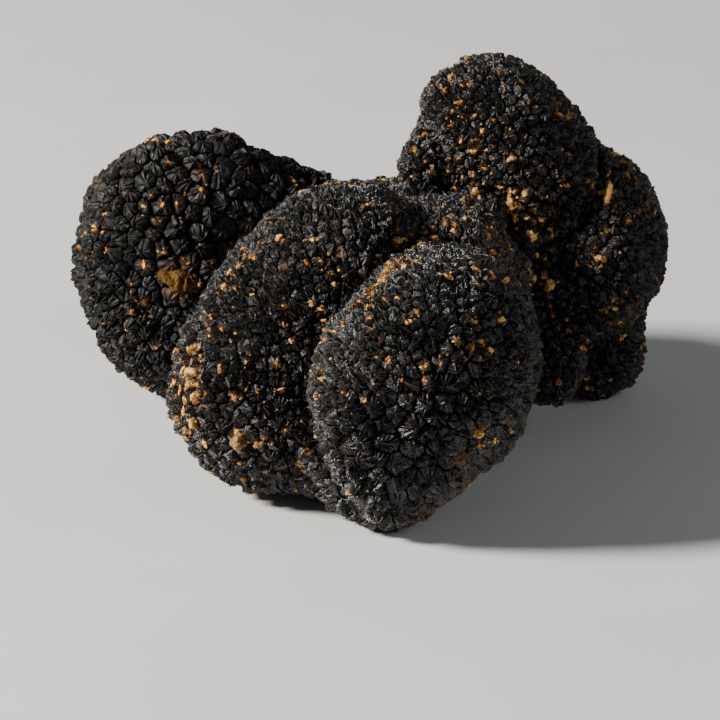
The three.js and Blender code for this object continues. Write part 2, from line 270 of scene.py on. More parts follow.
# The shells of the warts, mostly as shares of their height.
SINK = 0.60 * MM
ROOT_DEPTH = 1.5  # for the depth of the sunken rim
RIDGE_WIDTHS = (0.5, 1.5)
RIDGE_LEVELS = (0.3, 1.4)  # how far a ridge rises or a valley falls, for the ridge height
RIDGE_HEIGHT = 0.30
RIDGE_REACH = 0.05  # how far a ridge stands out sideways
RIDGE_PAINTED_LIGHT = 0.35  # how much paler a ridge is painted than a valley, as painted light
PAINTED_LIGHT_START = 0.5  # the painted light at the ground, from 0 in a groove to 1
PAINTED_LIGHT_CLIMB = 0.4  # how much paler it is painted at the tip
RING_WOBBLE = 0.04
RING_ROUGHNESS = 0.10
WART_LEAN = 0.2  # how far the tip stands to one side
WART_TILT = 0.35  # how much higher one side may be
WART_HEIGHTS = (0.65, 1.35)
DIMPLED_SHARE = 0.4  # the share of warts with a dimple for a tip
DIMPLE_HEIGHT = 0.62
POINT_HEIGHT = 1.05

# The flakes of soil, mostly as shares of their own size or thickness.
FLAKE_SIZE = 0.40 * MM
FLAKE_SIZES = 0.42
FLAKE_MOST = 1.6
FLAKE_TIP = 0.2
FLAKE_STRETCH = (1.0, 2.1)
FLAKE_POINTS = 11
FLAKE_WAVES = (2, 3, 4)  # the waves round an outline
FLAKE_WAVE = 0.22
FLAKE_TURN = 6.3
FLAKE_RAGGED = 0.13
FLAKE_SPAN = (0.45, 1.6)  # the least and the most reach of an outline
FLAKE_THICKNESS = 0.20 * MM
FLAKE_THICKNESSES = (0.6, 1.3)
FLAKE_RINGS = ((1.0, -0.4), (0.72, 0.8), (0.0, 1.0))  # the shares of the size and of the thickness
FLAKE_BUMPS = (0.8, 1.2)
FLAKE_PROBE = 1.2 * MM  # how far above and below the skin is looked for
FLAKE_SAG = 0.6  # the share of the way to the skin that a flake sags
FLAKE_ROOT = 0.4 * MM
FLAKE_INNER_EDGE = 0.25  # how much of the edge's rust the inner ring has
SUMMIT_FLAKES = 0.55  # the share of flakes that lie on a wart's tip

# The grains that have strayed from a flake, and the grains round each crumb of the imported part.
STRAY_GRAINS = 2
STRAY_REACH = 0.8 * MM
STRAY_GAP = MM  # how far from the skin a grain may land to count
STRAY_SIZES = (0.3, 0.6)
STRAY_STRETCH = (1, 1.6)
CRUMB_GRAINS = 4
GRAIN_REACH = 0.9  # how far they stray, for the crumb's reach
GRAIN_MARGIN = 0.6 * MM  # and beside it
GRAIN_SIZES = (0.35, 0.9)
GRAIN_STRETCH = (1, 2)

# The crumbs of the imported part.
CRUMB_CUTS = 4
CRUMB_WELD = 1e-6  # how near two corners are that become one, in metres
CRUMB_DRAWN = 0.70 * MM  # how far the underside is drawn down to the ground
CRUMB_LUMPS = 0.15 * MM
CRUMB_LUMP_LENGTH = 0.9 * MM
CRUMB_GRAIN = 0.08 * MM
CRUMB_GRAIN_LENGTH = 0.35 * MM
CRUMB_ROUGHNESS = CRUMB_GRAIN / 3
CRUMB_RAGGED = ((0.26, 1.3), (0.15, 0.55))  # the height and length of waves, for the crumb's size
CRUMB_HOLD = 0.75  # how far it presses the warts down, for its farthest point
CRUMB_ROOM = 0.5 * MM  # and beside it
CRUMB_PRESSED = 0.8
CRUMB_TONE = (0.4, 1.0)  # how pale it is, where the photo does not show it
CRUMB_TONES = {
    "grit_front_left": 0.12, "grit_front_small": 0.2, "grit_crown": 1.0, "soil_sliver_right": 1.4,
}

# The crack across the slab on the left lobe, with painted shade along it, mostly as shares of
# the slab's half length.
SLAB = "soil_patch_left"
CRACK_PLACE = 0.18
CRACK_WANDER = 0.05
CRACK_WAVE = 1.2 * MM
CRACK_DEPTH = 0.40 * MM
CRACK_WIDTH = 0.07
CRACK_SHADE = 0.9
CRACK_SHADE_WIDTH = 0.08

# The rust on the skin: how far it reaches for a flake's size, and beside a flake and a crumb.
STAIN_SPREAD = 1.5
STAIN_MARGIN = 0.16 * MM
STAIN_REACH = 0.5 * MM

# The view: straight at the front, a little above.
AIM = Vector((-1.8, 0, 15.5)) * MM
VIEW_DISTANCE = 686.4 * MM
VIEW_ELEVATION = math.radians(22.5)
LENS = 225
SENSOR = 36

# The stage: how far the floor reaches, the lights and what they are aimed at, and the light in the
# air, all in metres and watts.
FLOOR_REACH = 3.0
LIGHTS = {
    "key": dict(place=(-0.88, -0.18, 0.58), size=0.20, power=34, colour=(1.0, 0.97, 0.92)),
    "fill": dict(place=(0.75, -0.35, 0.5), size=0.5, power=2, colour=(0.95, 0.97, 1.0)),
}
LIGHT_AIM = Vector((0, 0, 0.02))
AIR_COLOUR = (0.86, 0.88, 0.9, 1)
AIR_STRENGTH = 0.13

# The least length and the least share that are divided by.
LEAST_LENGTH = 1e-12
LEAST_SHARE = 1e-9

rng = np.random.default_rng(SEED)


def at(share):
    """A place in the truffle's own box, or several places."""
    return LOW + SIZE * np.array(share)


def unit(vectors):
    """The same directions with length 1."""
    return vectors / np.maximum(np.linalg.norm(vectors, axis=-1, keepdims=True), LEAST_LENGTH)


def swell(points, length, seed):
    """A smooth uneven field, about from -1 to 1, with waves about that long."""
    own = np.random.default_rng(seed)
    directions = unit(own.normal(size=(FIELD_WAVES, 3)))
    turns = 2 * math.pi / (length * own.uniform(*WAVE_LENGTHS, FIELD_WAVES))
    phases = own.uniform(0, 2 * math.pi, FIELD_WAVES)
    return np.sin(points @ directions.T * turns + phases).sum(1) / math.sqrt(FIELD_WAVES * 2)


def bell(values):
    """1 at nothing, falling smoothly to nothing some way past 1."""
    return np.exp(-(values**2))


def nearness(points, place, reach):
    """1 at a place, falling smoothly to nothing some way past its reach."""
    return bell(np.linalg.norm(points - place, axis=-1) / reach)


def distance_to_line(points, line):
    """How far each point is from a line through several places."""
    nearest = np.full(len(points), np.inf)
    for start, end in zip(line[:-1], line[1:]):
        step = end - start
        share = np.clip((points - start) @ step / (step @ step), 0, 1)
        gap = points - start - share[:, None] * step
        nearest = np.minimum(nearest, np.linalg.norm(gap, axis=1))
    return nearest


def tree_of(points):
    """A search tree that finds the points near a place."""
    tree = KDTree(len(points))
    for index, point in enumerate(points):
        tree.insert(point, index)
    tree.balance()
    return tree


def shell_faces(count, rings):
    """The faces of a closed shell: rings of points, then a tip above them and a root below."""
    around = np.arange(count)
    after = (around + 1) % count
    last, tip = (rings - 1) * count, np.full(count, rings * count)
    faces = []
    for ring in range(rings - 1):
        a, b = ring * count + around, ring * count + after
        faces.append(np.stack([a, b, b + count], 1))
        faces.append(np.stack([a, b + count, a + count], 1))
    faces.append(np.stack([last + around, last + after, tip], 1))
    faces.append(np.stack([after, around, tip + 1], 1))
    return np.concatenate(faces)


def placed(name, data):
    """An object with that data, in the scene."""
    made = bpy.data.objects.new(name, data)
    bpy.context.scene.collection.objects.link(made)
    return made


def mesh_object(name, vertices, faces, material, attributes=None, smooth=False):
    """A mesh piece on the truffle's one body. Attributes are a number or vector per vertex."""
    vertices = np.asarray(vertices, np.float32).copy()
    vertices[:, 2] = np.maximum(vertices[:, 2], LOW[2])
    mesh = bpy.data.meshes.new(name)
    mesh.vertices.add(len(vertices))
    mesh.vertices.foreach_set("co", vertices.ravel())
    faces = np.asarray(faces, np.int32)
    mesh.loops.add(faces.size)
    mesh.loops.foreach_set("vertex_index", faces.ravel())
    mesh.polygons.add(len(faces))
    starts = np.arange(0, faces.size, faces.shape[1], dtype=np.int32)
    mesh.polygons.foreach_set("loop_start", starts)
    mesh.polygons.foreach_set("use_smooth", np.full(len(faces), smooth))
    mesh.update(calc_edges=True)
    mesh.validate()
    for key, values in (attributes or {}).items():
        values = np.asarray(values, np.float32)
        kind, field = ("FLOAT", "value") if values.ndim == 1 else ("FLOAT_VECTOR", "vector")
        mesh.attributes.new(key, kind, "POINT").data.foreach_set(field, values.ravel())
    mesh.materials.append(material)
    piece = placed(name, mesh)
    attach(piece, "root")
    return piece


# The ground.


def threes(items, field, kind=float):
    """A field of three numbers, as one row for each item."""
    values = np.zeros(len(items) * 3, kind)
    items.foreach_get(field, values)
    return values.reshape(-1, 3)


def ground_shape():
    """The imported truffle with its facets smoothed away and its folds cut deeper."""
    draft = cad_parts["truffle"].copy()
    draft.data = draft.data.copy()
    draft.parent = None
    bpy.context.scene.collection.objects.link(draft)
    even = draft.modifiers.new("even", "REMESH")
    even.mode = "VOXEL"
    even.voxel_size = GROUND_VOXEL
    soft = draft.modifiers.new("soft", "SMOOTH")
    soft.factor = SMOOTHING
    soft.iterations = GROUND_SMOOTHING
    depsgraph = bpy.context.evaluated_depsgraph_get()
    mesh = bpy.data.meshes.new_from_object(draft.evaluated_get(depsgraph))
    mesh.calc_loop_triangles()
    triangles = threes(mesh.loop_triangles, "vertices", np.int32)
    vertices, normals = threes(mesh.vertices, "co"), threes(mesh.vertex_normals, "vector")
    bpy.data.objects.remove(draft)
    bpy.data.meshes.remove(mesh)
    depth = GROUND_DEPTH - SWELLS * swell(vertices, SWELL_LENGTH, SWELL_SEED)
    for line, fold, width in FOLDS.values():
        depth += fold * bell(distance_to_line(vertices, at(line)) / width)
    for share, reach, hollow in HOLLOWS:
        depth += hollow * nearness(vertices, at(share), reach)
    return vertices - normals * depth[:, None], triangles, normals


# The warts.


def lobe_shares(points):
    """How much each lobe counts at each point, as one row for each point."""
    centres = at([each["at"] for each in LOBES.values()])
    distances = np.linalg.norm(points[:, None] - centres[None], axis=2)
    weights = np.exp(-((distances / LOBE_REACH) ** 2) * LOBE_SHARPNESS) + LEAST_SHARE
    return weights / weights.sum(1, keepdims=True)


def lobe_value(points, key):
    """A lobe's number, blended over the points."""
    return lobe_shares(points) @ np.array([each[key] for each in LOBES.values()])


def crosses(corners):
    """A vector along each triangle's normal, twice its area long."""
    return np.cross(corners[:, 1] - corners[:, 0], corners[:, 2] - corners[:, 0])


def scatter(corners, count):
    """Random points spread evenly over the triangles, with their normals."""
    cross = crosses(corners)
    areas = np.linalg.norm(cross, axis=1)
    chosen = rng.choice(len(corners), count, p=areas / areas.sum())
    u, v = rng.random(count), rng.random(count)
    flip = u + v > 1
    u[flip], v[flip] = 1 - u[flip], 1 - v[flip]
    start, left, right = (corners[chosen][:, number] for number in range(3))
    points = start + (left - start) * u[:, None] + (right - start) * v[:, None]
    return points, unit(cross[chosen])


def wart_places(vertices, triangles, ground):
    """Where the warts grow, evenly spread for their spacing, and which way they face."""
    corners = vertices[triangles]
    area = np.linalg.norm(crosses(corners), axis=1).sum() / 2
    area_each = (lobe_value(vertices, "spacing") ** 2 * WART_AREA).mean()
    points, normals = scatter(corners, int(area / area_each * TRIALS_PER_WART))
    spacing = lobe_value(points, "spacing") * rng.uniform(*UNEVEN_SPACING, len(points))
    tree = tree_of(points)
    open_still = np.ones(len(points), bool)
    kept = []
    for index in range(len(points)):
        if open_still[index]:
            kept.append(index)
            for _, other, _ in tree.find_range(points[index], spacing[index]):
                open_still[other] = False
    tree = tree_of(points[kept])
    owner = np.array([tree.find(point)[1] for point in points])
    sums, facing = (
        np.stack([np.bincount(owner, values[:, axis], len(kept)) for axis in range(3)], 1)
        for values in (points, normals)
    )
    middles = sums / np.bincount(owner, minlength=len(kept))[:, None]
    return np.array([ground.find_nearest(middle)[0] for middle in middles]), unit(facing)


def wart_outlines(centres, facing, turns, ground):
    """Each wart's rim, seen along its normal: where the lines halfway to its neighbours stop it."""
    spacing = lobe_value(centres, "spacing") * CELL_WIDTH
    across = unit(np.cross(facing, rng.normal(size=centres.shape)))
    along = np.cross(facing, across)
    push = (rng.uniform(0, CELL_PUSH, len(centres)) * spacing) ** 2
    tree = tree_of(centres)
    rims, outs = [], []
    for index, centre in enumerate(centres):
        near = [other for _, other, _ in tree.find_n(centre, NEIGHBOURS + 1) if other != index]
        near = [other for other in near if facing[index] @ facing[other] > SAME_SIDE]
        offset = centres[near] - centre
        flat = np.stack([offset @ across[index], offset @ along[index]], 1)
        length = np.maximum(np.linalg.norm(flat, axis=1), LEAST_SHARE)
        directions = np.stack([np.cos(turns[index]), np.sin(turns[index])], 1)
        half = length / 2 + (push[index] - push[near]) / (2 * length)
        half = np.maximum(half, LEAST_HALF * length) - GROOVE * spacing[index] / 2
        ahead = directions @ (flat / length[:, None]).T
        stops = half / np.maximum(ahead, LEAST_AHEAD)
        reach = np.where(ahead > LEAST_AHEAD, stops, UNSTOPPED).min(1)
        reach = np.clip(reach, *(share * spacing[index] for share in RIM_REACH))
        step = directions * reach[:, None]
        points = centre + step[:, :1] * across[index] + step[:, 1:] * along[index]
        seats = [ground.find_nearest(point)[:2] for point in points]
        rims.append(np.array([location for location, _ in seats]))
        outs.append(np.array([normal for _, normal in seats]))
    return dict(spacing=spacing, across=across, along=along, rims=rims, outs=outs)


def worn_and_brown(points):
    """How much of the warts' height is gone at each point, and how brown the skin is there."""
    worn, brown = np.zeros(len(points)), np.zeros(len(points))
    for share, reach, gone, tint in WORN:
        near = np.minimum(1, WORN_CORE * nearness(points, at(share), reach))
        worn = np.maximum(worn, gone * near)
        brown = np.maximum(brown, tint * near)
    return worn, brown


def painted_glints(points):
    """How pale the painted glints on the ridges are at each point."""
    near = [pale * nearness(points, at(share), reach) for share, reach, pale in PAINTED_GLINT_PLACES]
    return np.max(near, axis=0)


def scarred(points):
    """1 in a scar, falling to nothing outside it."""
    return np.max([nearness(points, at(share), reach) for share, reach in SCARS], axis=0)


def flake_chance(centres):
    """The chance that a wart holds a flake of soil."""
    patches = np.maximum(swell(centres, PATCH_LENGTH, PATCH_SEED), 0)
    chance = lobe_value(centres, "flakes") * (PATCH_LEAST + PATCH_MORE * patches)
    for share, reach, most in DUSTINGS:
        chance = np.maximum(chance, most * nearness(centres, at(share), reach))
    return chance


def fans(ridges, steps):
    """For each wart, the angles of its sides, and how far the ridges and valleys rise and fall."""
    angles, levels = [], []
    for count, number in zip(ridges, steps):
        widths = rng.uniform(*RIDGE_WIDTHS, count)
        ends = np.concatenate([[0], np.cumsum(widths)]) * 2 * math.pi / widths.sum()
        share = np.arange(number) / number
        climb = 1 - np.abs(2 * share - 1)
        angles.append((ends[:-1, None] + share * np.diff(ends)[:, None]).ravel())
        tops, dips = rng.uniform(*RIDGE_LEVELS, (2, count, 1))
        levels.append((tops * climb - dips * (1 - climb)).ravel())
    return angles, levels


def wart_shell(warts, index):
    """One wart's points, the painted light and shade of each, and where it is on the wart."""
    rim, out, centre, up, height, across, along, spacing, angles, levels, rays, tone, shoulder = (
        warts[key][index]
        for key in ("rims", "outs", "centres", "facing", "heights", "across", "along", "spacing",
                    "turns", "levels", "rays", "tones", "shoulders")
    )
    count, ray = len(rim), levels * rays
    bulge = ((centre - rim) @ up)[:, None]
    lean = (across * rng.normal(0, WART_LEAN) + along * rng.normal(0, WART_LEAN)) * spacing
    tilt = np.cos(angles - rng.uniform(0, 2 * math.pi)) * rng.uniform(0, WART_TILT)
    tip_height = DIMPLE_HEIGHT if rng.random() < DIMPLED_SHARE else POINT_HEIGHT
    points, painted_light, spots = [], [], []
    for share, level, ridged in RINGS:
        sunken = level < 0
        spread = np.full((count, 1), share)
        if not sunken:
            level = shoulder + (1 - shoulder) * level
            wobble = rng.normal(0, RING_WOBBLE, count)
            spread = (share * (1 + RIDGE_REACH * ray + wobble))[:, None]
        ground = centre + (rim - centre) * spread + up * bulge * (spread - spread**2)
        normal = unit(up * (1 - share) + out * share)
        if sunken:
            points.append(ground - normal * SINK)
            # The sunken rim gets the darkest painted shade.
            painted_light.append(np.zeros(count))
        else:
            rough = RIDGE_HEIGHT * ridged * ray + rng.normal(0, RING_ROUGHNESS, count)
            stand = height * (level * (1 + tilt * share) + rough)
            points.append(ground + normal * stand[:, None] + lean * level * (1 - share))
            # Painted light: paler towards the tip and on the ridges, painted shade towards the
            # groove.
            painted_light.append(np.clip(PAINTED_LIGHT_START + PAINTED_LIGHT_CLIMB * level + RIDGE_PAINTED_LIGHT * ray, 0, 1))
        places = (np.cos(angles) * share, np.sin(angles) * share, np.full(count, tone))
        spots.append(np.stack(places, 1))
    points.append([centre + up * height * tip_height + lean, centre - up * SINK * ROOT_DEPTH])
    # The tip gets full painted light and the root full painted shade.
    painted_light.append([1.0, 0.0])
    spots.append([[0, 0, tone], [0, 0, tone]])
    return np.concatenate(points), np.concatenate(painted_light), np.concatenate(spots)


def wart_mesh(indices, warts, seats):
    """These warts as one mesh. Adds a seat to the list for each wart that holds a flake of soil."""
    shells, faces, start = [], [], 0
    for index in indices:
        points, painted_light, spots = wart_shell(warts, index)
        count = len(warts["rims"][index])
        if warts["flaked"][index]:
            ring, on_tip = rng.integers(1, len(RINGS)), rng.random() < SUMMIT_FLAKES
            seat = len(RINGS) * count if on_tip else ring * count + rng.integers(count)
            seats.append((points[seat], warts["facing"][index]))
        shells.append((points, painted_light, spots))
        faces.append(start + shell_faces(count, len(RINGS)))
        start += len(points)
    points, painted_light, spots = (np.concatenate(parts) for parts in zip(*shells))
    return points, np.concatenate(faces), painted_light, spots


def grow_warts(vertices, triangles, ground, crumbs):
    """All that the shells of the warts are drawn from, and the number of each wart's lobe."""
    centres, facing = wart_places(vertices, triangles, ground)
    lobes = lobe_shares(centres).argmax(1)
    ridges, steps = (
        np.array([each[key] for each in LOBES.values()])[lobes] for key in ("ridges", "steps")
    )
    turns, levels = fans(ridges, steps)
    warts = wart_outlines(centres, facing, turns, ground)
    worn = np.maximum(worn_and_brown(centres)[0], SCAR_WORN * scarred(centres))
    for middle, reach in crumbs:
        worn = np.maximum(worn, CRUMB_PRESSED * nearness(centres, middle, reach + CRUMB_ROOM))
    uneven = rng.uniform(*WART_HEIGHTS, len(centres))
    warts.update(
        centres=centres,
        facing=facing,
        turns=turns,
        levels=levels,
        heights=lobe_value(centres, "height") * uneven * (1 - worn),
        rays=lobe_value(centres, "rays"),
        shoulders=lobe_value(centres, "shoulder"),
        tones=rng.random(len(centres)),
        flaked=rng.random(len(centres)) < flake_chance(centres),
    )
    return warts, lobes


def surface_of(shapes):
    """The skin of all the warts, for looking up its nearest point."""
    points, faces, start = [], [], 0
    for shape, corners, _, _ in shapes:
        points.append(shape)
        faces.append(corners + start)
        start += len(shape)
    return BVHTree.FromPolygons(np.concatenate(points).tolist(), np.concatenate(faces).tolist())


# The soil.


def seam_flakes(line, stray, count, surface):
    """The flakes of one seam of soil, each lying along it."""
    places = at(line)
    lengths = np.concatenate([[0], np.cumsum(np.linalg.norm(np.diff(places, axis=0), axis=1))])

    def place(length):
        return np.array([np.interp(length, lengths, places[:, axis]) for axis in range(3)])

    flakes = []
    for _ in range(count):
        length = rng.uniform(0, lengths[-1])
        spot, normal, _, _ = surface.find_nearest(place(length) + rng.normal(0, stray, 3))
        up = unit(np.array(normal) + SEAM_LEAN)
        size = SEAM_SIZE * rng.lognormal(*SEAM_SIZES)
        stretch = SEAM_STRETCH * rng.uniform(*SEAM_STRETCHES)
        flakes.append((np.array(spot), up, place(length + MM) - place(length - MM), size, stretch))
    return flakes


def flake_list(seats, crumbs, surface):
    """Every flake of soil: its seat, the way out, the way its length lies, its size and stretch."""
    flakes = []

    def add(seat, up, size, stretch):
        flakes.append((np.array(seat), up, rng.normal(size=3), size, rng.uniform(*stretch)))

    for middle, reach in crumbs:
        for _ in range(CRUMB_GRAINS):
            place = middle + rng.normal(0, GRAIN_REACH * reach + GRAIN_MARGIN, 3)
            spot, normal, _, _ = surface.find_nearest(place)
            add(spot, np.array(normal), FLAKE_SIZE * rng.uniform(*GRAIN_SIZES), GRAIN_STRETCH)
    grains = lobe_value(np.array([seat for seat, _ in seats]), "grain")
    for (seat, up), grain in zip(seats, grains):
        size = grain * min(rng.lognormal(0, FLAKE_SIZES), FLAKE_MOST)
        add(seat, unit(up + rng.normal(0, FLAKE_TIP, 3)), size, FLAKE_STRETCH)
        for _ in range(rng.integers(0, STRAY_GRAINS + 1)):
            place = seat + rng.normal(0, STRAY_REACH, 3)
            spot, normal, _, distance = surface.find_nearest(place)
            if distance < STRAY_GAP:
                size = grain * rng.uniform(*STRAY_SIZES)
                add(spot, unit(np.array(normal) + up), size, STRAY_STRETCH)
    for line, stray, count in SEAMS:
        flakes.extend(seam_flakes(line, stray, count, surface))
    return flakes


def flake_mesh(flakes, surface):
    """Thin flakes of soil that lie on the warts, each with a ragged outline."""
    points, tones = [], []
    angles = np.arange(FLAKE_POINTS) * 2 * math.pi / FLAKE_POINTS
    for seat, up, ahead, size, stretch in flakes:
        along = unit(ahead - up * (ahead @ up))
        across = np.cross(up, along)
        waves = sum(
            rng.uniform(0, FLAKE_WAVE) * np.sin(turns * angles + rng.uniform(0, FLAKE_TURN))
            for turns in FLAKE_WAVES
        )
        ragged = np.clip(1 + waves + rng.normal(0, FLAKE_RAGGED, FLAKE_POINTS), *FLAKE_SPAN)
        outline = np.stack([np.cos(angles) * stretch**0.5, np.sin(angles) / stretch**0.5], 1)
        outline *= (ragged * size)[:, None]
        thickness = FLAKE_THICKNESS * rng.uniform(*FLAKE_THICKNESSES) * min(1, size / FLAKE_SIZE)
        for share, level in FLAKE_RINGS:
            flat = outline * share if share else np.zeros((1, 2))
            for place in seat + flat[:, :1] * along + flat[:, 1:] * across:
                hit = surface.ray_cast(place + up * FLAKE_PROBE, -up, 2 * FLAKE_PROBE)[0]
                lift = 0 if hit is None else (np.array(hit) - place) @ up
                bump = level * thickness * rng.uniform(*FLAKE_BUMPS)
                points.append(place + up * (FLAKE_SAG * lift + bump))
        points.append(seat - up * FLAKE_ROOT)
        tones.append(rng.random())
    ring = np.ones(FLAKE_POINTS)
    edge = np.concatenate([ring, FLAKE_INNER_EDGE * ring, [0, 1]])
    starts = np.arange(len(flakes)) * len(edge)
    faces = starts[:, None, None] + shell_faces(FLAKE_POINTS, len(FLAKE_RINGS) - 1)
    attributes = {"tone": np.repeat(tones, len(edge)), "edge": np.tile(edge, len(flakes))}
    return np.array(points), faces.reshape(-1, 3), attributes


def cut_finer(node):
    """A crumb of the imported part, cut finer: its points, their normals and its faces."""
    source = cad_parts[node]
    shape = bmesh.new()
    shape.from_mesh(source.data)
    shape.transform(source.matrix_world)
    bmesh.ops.remove_doubles(shape, verts=shape.verts, dist=CRUMB_WELD)
    bmesh.ops.triangulate(shape, faces=shape.faces)
    bmesh.ops.subdivide_edges(shape, edges=shape.edges, cuts=CRUMB_CUTS, use_grid_fill=True)
    axes = dict(use_axis_x=True, use_axis_y=True, use_axis_z=True)
    for _ in range(CRUMB_CUTS):
        bmesh.ops.smooth_vert(shape, verts=shape.verts, factor=SMOOTHING, **axes)
    bmesh.ops.triangulate(shape, faces=shape.faces)
    shape.normal_update()
    points = np.array([vertex.co for vertex in shape.verts])
    normals = np.array([vertex.normal for vertex in shape.verts])
    faces = np.array([[vertex.index for vertex in face.verts] for face in shape.faces])
    shape.free()
    return points, normals, faces


def crumb_shape(node, ground, seed):
    """A crumb, drawn down to the ground and made lumpy and ragged, and the way out of it."""
    points, normals, faces = cut_finer(node)
    middle = points.mean(0)
    up = np.array(ground.find_nearest(middle)[1])
    height = (points - middle) @ up
    below = (height.max() - height) / np.ptp(height)
    flat = points - middle - height[:, None] * up
    along, across = np.linalg.svd(flat, full_matrices=False)[2][:2]
    reach = flat @ along / np.abs(flat @ along).max()
    out = np.hypot(reach, flat @ across / np.abs(flat @ across).max())
    lumps = CRUMB_LUMPS * swell(points, CRUMB_LUMP_LENGTH, seed)
    lumps = lumps + CRUMB_GRAIN * swell(points, CRUMB_GRAIN_LENGTH, seed + 1)
    rough = lumps + rng.normal(0, CRUMB_ROUGHNESS, len(points))
    size = np.linalg.norm(flat, axis=1).max()
    ragged = sum(
        share * swell(flat, wave * size, seed + 2 + number)
        for number, (share, wave) in enumerate(CRUMB_RAGGED)
    )
    drawn = up * (below * CRUMB_DRAWN)[:, None]
    points = points + normals * rough[:, None] + flat * ragged[:, None] - drawn
    # The edge rises towards the crumb's rim and its underside, which are coloured darker there.
    return points, faces, {"edge": np.maximum(below, out), "reach": reach}, up


# The materials.


class Nodes:
    """A short way to write a material."""

    def __init__(self, name):
        self.material = bpy.data.materials.new(name)
        self.material.use_nodes = True
        self.tree = self.material.node_tree
        self.shader = self.tree.nodes["Principled BSDF"]

    def add(self, kind, inputs=None, **settings):
        node = self.tree.nodes.new(kind)
        for key, value in settings.items():
            setattr(node, key, value)
        for key, value in (inputs or {}).items():
            self.set(node.inputs[key], value)
        return node

    def set(self, socket, value):
        if isinstance(value, bpy.types.NodeSocket):
            self.tree.links.new(value, socket)
        else:
            socket.default_value = value

    def noise(self, size, detail, roughness=0.55):
        """A noise whose blobs are that long, in metres."""
        place = self.add("ShaderNodeTexCoord").outputs["Object"]
        inputs = {"Vector": place, "Scale": 1 / size, "Detail": detail, "Roughness": roughness}
        return self.add("ShaderNodeTexNoise", inputs).outputs["Fac"]

    def ramp(self, value, low, high, start=0.0, end=1.0):
        """The value from low to high, drawn out to go from start to end and kept between them."""
        span = {"From Min": low, "From Max": high, "To Min": start, "To Max": end}
        return self.add("ShaderNodeMapRange", {"Value": value, **span}).outputs["Result"]

    def math(self, operation, a, b):
        return self.add("ShaderNodeMath", {0: a, 1: b}, operation=operation).outputs[0]

    def mix(self, share, a, b):
        """Colour a where the share is 0, and colour b where it is 1."""
        node = self.add("ShaderNodeMix", data_type="RGBA")
        for key, value in ((0, share), (6, a), (7, b)):
            self.set(node.inputs[key], value)
        return node.outputs[2]

    def attribute(self, name, output="Fac"):
        return self.add("ShaderNodeAttribute", attribute_name=name).outputs[output]

    def parts(self, vector):
        return self.add("ShaderNodeSeparateXYZ", {0: vector}).outputs

    def bump(self, height, distance, strength, normal=None):
        inputs = {"Height": height, "Distance": distance, "Strength": strength}
        if normal is not None:
            inputs["Normal"] = normal
        return self.add("ShaderNodeBump", inputs).outputs["Normal"]

    def finish(self, **sockets):
        for key, value in sockets.items():
            self.set(self.shader.inputs[key.replace("_", " ")], value)
        return self.material


# The colours of the skin. The groove and bottom blacks are painted shade, and the pale of the glints
# is a painted highlight. The tints are for the colour of the warts' tips: the brown one is the
# skin's own, the other a painted highlight.
GROOVE_PAINTED_SHADE = (0.0016, 0.0015, 0.0014, 1)
BOTTOM_BLACK, BOTTOM_BROWN = (0.0018, 0.0016, 0.0015, 1), (0.007, 0.005, 0.0035, 1)
BROWN_TINT, PAINTED_HIGHLIGHT_TINT = (1.8, 1.05, 0.62), (3.6, 3.3, 2.8)
PAINTED_GLINT_PALE = (0.28, 0.263, 0.24, 1)
FLESH = (0.050, 0.015, 0.009, 1), (0.20, 0.095, 0.050, 1)
RIND = (0.035, 0.018, 0.009, 1), (0.16, 0.085, 0.036, 1)
RUST = (0.11, 0.042, 0.013, 1), (0.032, 0.017, 0.009, 1)

# The colours of the soil, and of the floor.
FLAKE_DULL, FLAKE_CREAM = (0.22, 0.088, 0.018, 1), (0.92, 0.54, 0.135, 1)
FLAKE_RUST = (0.12, 0.046, 0.013, 1)
OCHRE_DARK, OCHRE_LIGHT = (0.062, 0.028, 0.003, 1), (0.132, 0.063, 0.008, 1)
OCHRE_SPECK, OCHRE_EDGE = (0.036, 0.015, 0.002, 1), (0.024, 0.009, 0.002, 1)
GRIT_CREAM, GRIT_OCHRE = (0.64, 0.40, 0.135, 1), (0.31, 0.155, 0.038, 1)
GRIT_DULL, GRIT_EDGE = (0.17, 0.083, 0.018, 1), (0.15, 0.070, 0.022, 1)
# The sponge's holes are painted dark as shade.
SPONGE_HOLE_SHADE, SPONGE_BROWN = (0.030, 0.011, 0.003, 1), (0.125, 0.052, 0.016, 1)
FLOOR_DARK, FLOOR_LIGHT = (0.60, 0.60, 0.59, 1), (0.64, 0.64, 0.63, 1)

# How much dull earth shines, how far the skin's roughness varies, and how the fine rays from a
# wart's tip turn with the angle and from wart to wart.
DULL_SHINE = 0.15
ROUGHNESS_RANGE = 0.22
RAY_TURN = 2.2
RAY_SHIFT = 40.0


